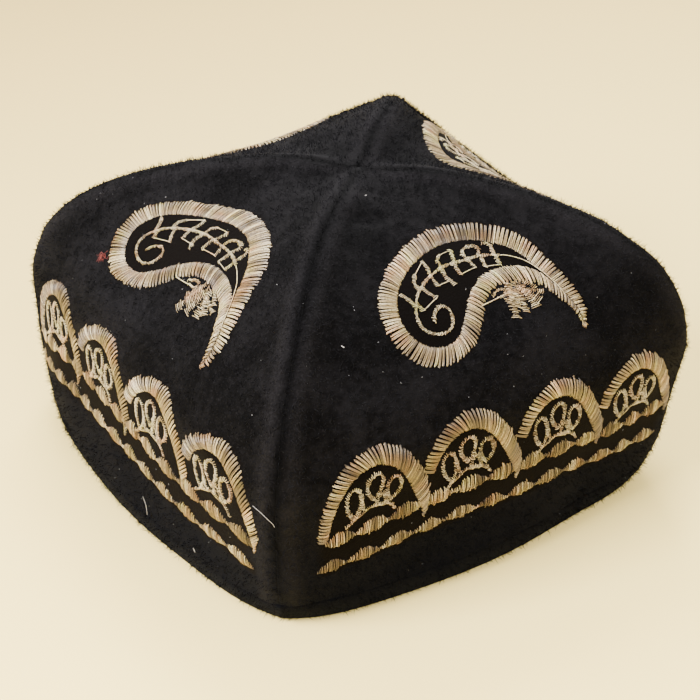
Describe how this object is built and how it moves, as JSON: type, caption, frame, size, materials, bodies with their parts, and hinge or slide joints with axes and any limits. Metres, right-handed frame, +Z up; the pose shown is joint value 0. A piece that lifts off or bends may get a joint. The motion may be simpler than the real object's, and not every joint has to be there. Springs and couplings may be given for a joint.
{
  "type": "tubeteika skullcap",
  "caption": "Square four-gored black velvet skullcap with a low soft crown, embroidered in cream and tan with almond motifs, arches and a wave border.",
  "frame": {"origin": "on the surface that the cap stands on, below the middle of its bounding box", "axes": "+Z up through the middle of the crown; -Y faces the side whose motif is at the picture's right; -X faces the side at the picture's left"},
  "size_m": [0.1718, 0.1702, 0.1023],
  "materials": {
    "panel_front": "black velvet with cream and tan silk embroidery",
    "panel_right": "black velvet with cream and tan silk embroidery",
    "panel_back": "black velvet with cream and tan silk embroidery",
    "panel_left": "black velvet with cream and tan silk embroidery",
    "hem_band": "black velvet turned under and folded double"
  },
  "bodies": {
    "root": {"panel_front": "panel_front", "panel_right": "panel_right", "panel_back": "panel_back", "panel_left": "panel_left", "hem_band": "hem_band"}
  },
  "joints": []
}
